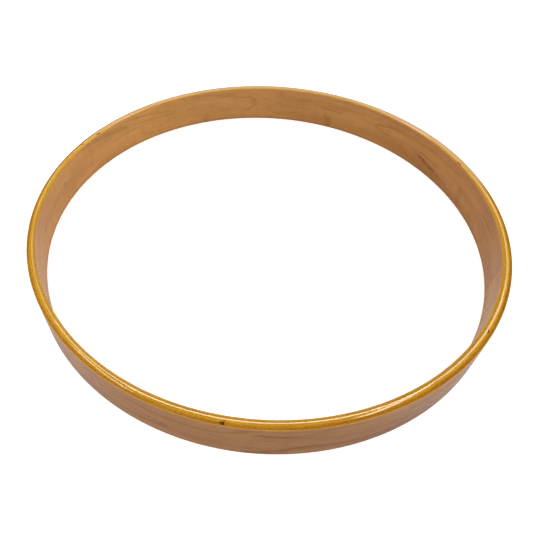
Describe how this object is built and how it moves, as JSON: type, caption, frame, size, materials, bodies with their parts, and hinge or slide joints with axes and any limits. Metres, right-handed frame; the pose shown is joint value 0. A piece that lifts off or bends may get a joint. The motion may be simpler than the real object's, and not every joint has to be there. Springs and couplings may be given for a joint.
{
  "type": "drum hoop",
  "caption": "Round bass drum hoop of bent laminated maple, with satin faces, a flat bottom edge and a crowned, amber lacquered top edge.",
  "frame": {"origin": "on the hoop's axis, at its flat bottom edge", "axes": "+Z along the hoop's axis from the flat edge towards the moulded edge, +X to the hoop's right and +Y to its far side as pictured"},
  "size_m": [0.5334, 0.5334, 0.0508],
  "materials": {
    "maple_face": "satin clear lacquer over long-grain maple veneer",
    "maple_core": "gloss amber lacquer over the machined edge of the maple plies",
    "joint_filler": "dark glue and a sliver of wood under the lacquer"
  },
  "bodies": {
    "root": {"inner_face_ply": "maple_face", "inner_core_back_ply_1": "maple_core", "inner_core_front_ply_1": "maple_core", "inner_core_back_ply_2": "maple_core", "inner_core_front_ply_2": "maple_core", "middle_core_left_ply_1": "maple_core", "middle_core_right_ply_1": "maple_core", "middle_core_left_ply_2": "maple_core", "middle_core_right_ply_2": "maple_core", "outer_core_ply_1": "maple_core", "outer_core_ply_2": "maple_core", "outer_core_joint_filler": "joint_filler", "outer_face_ply": "maple_face", "outer_face_joint_filler": "joint_filler"}
  },
  "joints": []
}
